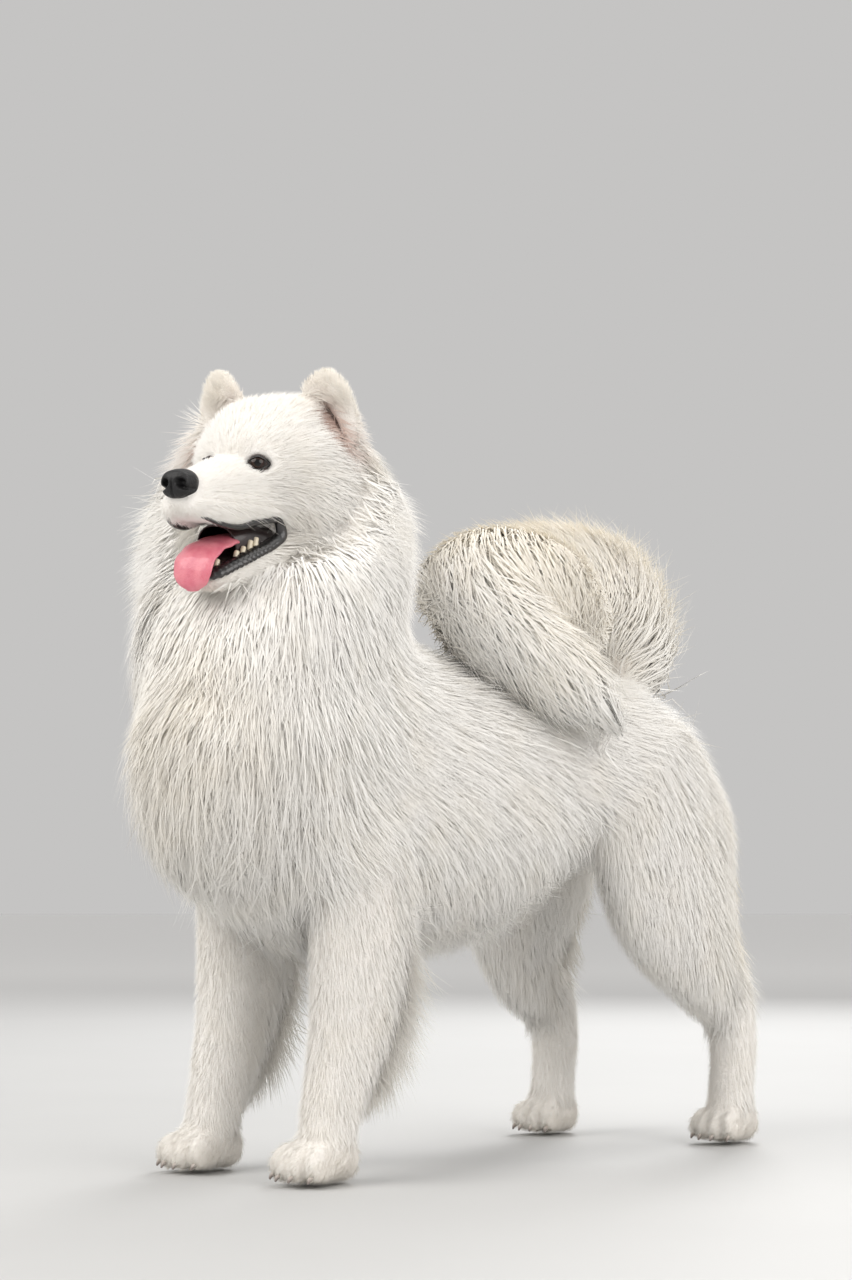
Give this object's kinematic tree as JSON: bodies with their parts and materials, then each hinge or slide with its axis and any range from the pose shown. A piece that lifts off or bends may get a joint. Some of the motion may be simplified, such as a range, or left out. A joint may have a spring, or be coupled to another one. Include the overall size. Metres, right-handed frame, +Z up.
{
  "type": "samoyed",
  "caption": "A standing samoyed with a long double coat, a full ruff, pricked ears, an open smiling mouth and a plumed tail curled over its back",
  "frame": {"origin": "the middle of the model's box, at the level of the four soles", "axes": "the dog faces -Y, its left side is towards +X, and +Z is up"},
  "size_m": [0.3946, 0.836, 0.8657],
  "materials": {
    "white_coat": "soft white fur",
    "cream_coat": "soft cream fur",
    "ear_coat": "short velvety fur",
    "black_leather": "moist black skin",
    "dark_eye": "wet dark brown",
    "pink_tongue": "moist pink"
  },
  "bodies": {
    "root": {"ear_left": "ear_coat", "ear_right": "ear_coat", "eye_left": "dark_eye", "eye_right": "dark_eye", "eyelids_left": "black_leather", "eyelids_right": "black_leather", "foreleg_left": "white_coat", "foreleg_right": "white_coat", "forepaw_left": "white_coat", "forepaw_right": "white_coat", "head": "white_coat", "hindpaw_left": "white_coat", "hindpaw_right": "white_coat", "lips": "black_leather", "lower_jaw": "white_coat", "neck": "white_coat", "nose": "black_leather", "shank_left": "white_coat", "shank_right": "white_coat", "tail_curl": "cream_coat", "tail_root": "cream_coat", "tail_tip": "cream_coat", "thigh_left": "white_coat", "thigh_right": "white_coat", "tongue": "pink_tongue", "torso": "white_coat"}
  },
  "joints": []
}
